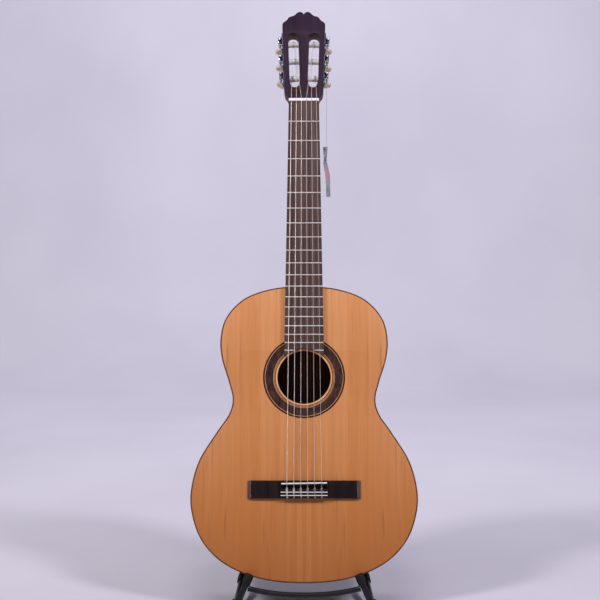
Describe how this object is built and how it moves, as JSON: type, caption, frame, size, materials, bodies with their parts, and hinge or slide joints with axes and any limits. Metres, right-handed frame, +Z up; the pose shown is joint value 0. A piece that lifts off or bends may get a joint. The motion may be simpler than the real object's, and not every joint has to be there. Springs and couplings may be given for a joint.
{
  "type": "guitar on stand",
  "caption": "Classical guitar with slotted head and open geared tuners, leaning back on a low folding tube stand with rubber boots.",
  "frame": {"origin": "on the floor under the middle of the whole", "axes": "+Z up, the guitar faces -Y, its bass side is at -X"},
  "size_m": [0.3676, 0.3338, 0.9939],
  "materials": {
    "cedar_top": "open grained cedar under clear gloss lacquer",
    "body_wood": "reddish brown hardwood under clear gloss lacquer",
    "inner_spruce": "bare spruce",
    "rosewood": "dark rosewood, satin",
    "rosette_inlay": "dark inlaid rings with thin light lines",
    "bone": "white, satin",
    "tuner_metal": "bright plated steel",
    "roller_white": "white plastic roller with a steel gear",
    "button_pearl": "cream pearl plastic",
    "wound_string": "silver wound",
    "nylon_string": "clear nylon",
    "stand_tube": "black powder coat on steel tube",
    "stand_rubber": "black rubber",
    "stand_foam": "black foam sleeve",
    "clear_film": "clear film and thread"
  },
  "bodies": {
    "stand_front": {"left_side_tube": "stand_tube", "right_side_tube": "stand_tube", "bow_tube": "stand_tube", "backrest_bar": "stand_tube", "backrest_pad": "stand_foam", "left_boot": "stand_rubber", "left_rail_sleeve": "stand_rubber", "left_front_foot": "stand_rubber", "right_boot": "stand_rubber", "right_rail_sleeve": "stand_rubber", "right_front_foot": "stand_rubber"},
    "stand_rear": {"rear_frame": "stand_tube", "left_rear_foot": "stand_rubber", "right_rear_foot": "stand_rubber"},
    "key_left_1": {"worm_shaft_left_1": "tuner_metal", "tuner_button_left_1": "button_pearl"},
    "roller_left_1": {"string_roller_left_1": "roller_white"},
    "key_left_2": {"worm_shaft_left_2": "tuner_metal", "tuner_button_left_2": "button_pearl"},
    "roller_left_2": {"string_roller_left_2": "roller_white"},
    "key_left_3": {"worm_shaft_left_3": "tuner_metal", "tuner_button_left_3": "button_pearl"},
    "roller_left_3": {"string_roller_left_3": "roller_white"},
    "key_right_1": {"worm_shaft_right_1": "tuner_metal", "tuner_button_right_1": "button_pearl"},
    "roller_right_1": {"string_roller_right_1": "roller_white"},
    "key_right_2": {"worm_shaft_right_2": "tuner_metal", "tuner_button_right_2": "button_pearl"},
    "roller_right_2": {"string_roller_right_2": "roller_white"},
    "key_right_3": {"worm_shaft_right_3": "tuner_metal", "tuner_button_right_3": "button_pearl"},
    "roller_right_3": {"string_roller_right_3": "roller_white"},
    "tag": {"tag_thread": "clear_film", "hang_tag": "clear_film"},
    "guitar": {"soundboard": "cedar_top", "left_rib": "body_wood", "right_rib": "body_wood", "back_plate": "body_wood", "neck": "body_wood", "headstock": "body_wood", "end_block": "inner_spruce", "neck_block": "inner_spruce", "upper_harmonic_bar": "inner_spruce", "lower_harmonic_bar": "inner_spruce", "edge_binding": "rosewood", "bridge": "rosewood", "fingerboard": "rosewood", "headplate": "rosewood", "rosette": "rosette_inlay", "saddle": "bone", "nut": "bone", "left_tuner_plate": "tuner_metal", "right_tuner_plate": "tuner_metal", "string_6": "wound_string", "string_5": "wound_string", "string_4": "wound_string", "string_3": "nylon_string", "string_2": "nylon_string", "string_1": "nylon_string"}
  },
  "joints": [
    {"name": "rear_frame_fold", "type": "hinge", "parent": "stand_front", "child": "stand_rear", "pos_m": [0, 0.0053, 0.1968], "axis": [1, 0, 0], "range_deg": [-34, 0]},
    {"name": "guitar_lift", "type": "slide", "parent": "stand_front", "child": "guitar", "axis": [0, 0.2588, 0.9659], "range_m": [0, 0.25]},
    {"name": "key_turn_left_1", "type": "hinge", "parent": "guitar", "child": "key_left_1", "pos_m": [-0.04014, 0.09894, 0.87667], "axis": [0, 0.891, -0.454], "continuous": true},
    {"name": "roller_turn_left_1", "type": "hinge", "parent": "guitar", "child": "roller_left_1", "pos_m": [-0.03496, 0.09483, 0.86861], "axis": [0.9995, 0.0139, 0.0274], "continuous": true},
    {"name": "key_turn_left_2", "type": "hinge", "parent": "guitar", "child": "key_left_2", "pos_m": [-0.04123, 0.11514, 0.90847], "axis": [0, 0.891, -0.454], "continuous": true},
    {"name": "roller_turn_left_2", "type": "hinge", "parent": "guitar", "child": "roller_left_2", "pos_m": [-0.03605, 0.11103, 0.90041], "axis": [0.9995, 0.0139, 0.0274], "continuous": true},
    {"name": "key_turn_left_3", "type": "hinge", "parent": "guitar", "child": "key_left_3", "pos_m": [-0.04233, 0.13134, 0.94026], "axis": [0, 0.891, -0.454], "continuous": true},
    {"name": "roller_turn_left_3", "type": "hinge", "parent": "guitar", "child": "roller_left_3", "pos_m": [-0.03715, 0.12723, 0.9322], "axis": [0.9995, 0.0139, 0.0274], "continuous": true},
    {"name": "key_turn_right_1", "type": "hinge", "parent": "guitar", "child": "key_right_1", "pos_m": [0.04014, 0.09894, 0.87667], "axis": [0, 0.891, -0.454], "continuous": true},
    {"name": "roller_turn_right_1", "type": "hinge", "parent": "guitar", "child": "roller_right_1", "pos_m": [0.03496, 0.09483, 0.86861], "axis": [0.9995, -0.0139, -0.0274], "continuous": true},
    {"name": "key_turn_right_2", "type": "hinge", "parent": "guitar", "child": "key_right_2", "pos_m": [0.04123, 0.11514, 0.90847], "axis": [0, 0.891, -0.454], "continuous": true},
    {"name": "roller_turn_right_2", "type": "hinge", "parent": "guitar", "child": "roller_right_2", "pos_m": [0.03605, 0.11103, 0.90041], "axis": [0.9995, -0.0139, -0.0274], "continuous": true},
    {"name": "key_turn_right_3", "type": "hinge", "parent": "guitar", "child": "key_right_3", "pos_m": [0.04233, 0.13134, 0.94026], "axis": [0, 0.891, -0.454], "continuous": true},
    {"name": "roller_turn_right_3", "type": "hinge", "parent": "guitar", "child": "roller_right_3", "pos_m": [0.03715, 0.12723, 0.9322], "axis": [0.9995, -0.0139, -0.0274], "continuous": true},
    {"name": "tag_swing", "type": "hinge", "parent": "guitar", "child": "tag", "pos_m": [0.04014, 0.10874, 0.86988], "axis": [1, 0, 0], "range_deg": [-25, 25]}
  ],
  "couplings": [
    {"joint": "roller_turn_left_1", "follows": "key_turn_left_1", "ratio": -0.071429},
    {"joint": "roller_turn_left_2", "follows": "key_turn_left_2", "ratio": -0.071429},
    {"joint": "roller_turn_left_3", "follows": "key_turn_left_3", "ratio": -0.071429},
    {"joint": "roller_turn_right_1", "follows": "key_turn_right_1", "ratio": -0.071429},
    {"joint": "roller_turn_right_2", "follows": "key_turn_right_2", "ratio": -0.071429},
    {"joint": "roller_turn_right_3", "follows": "key_turn_right_3", "ratio": -0.071429}
  ]
}
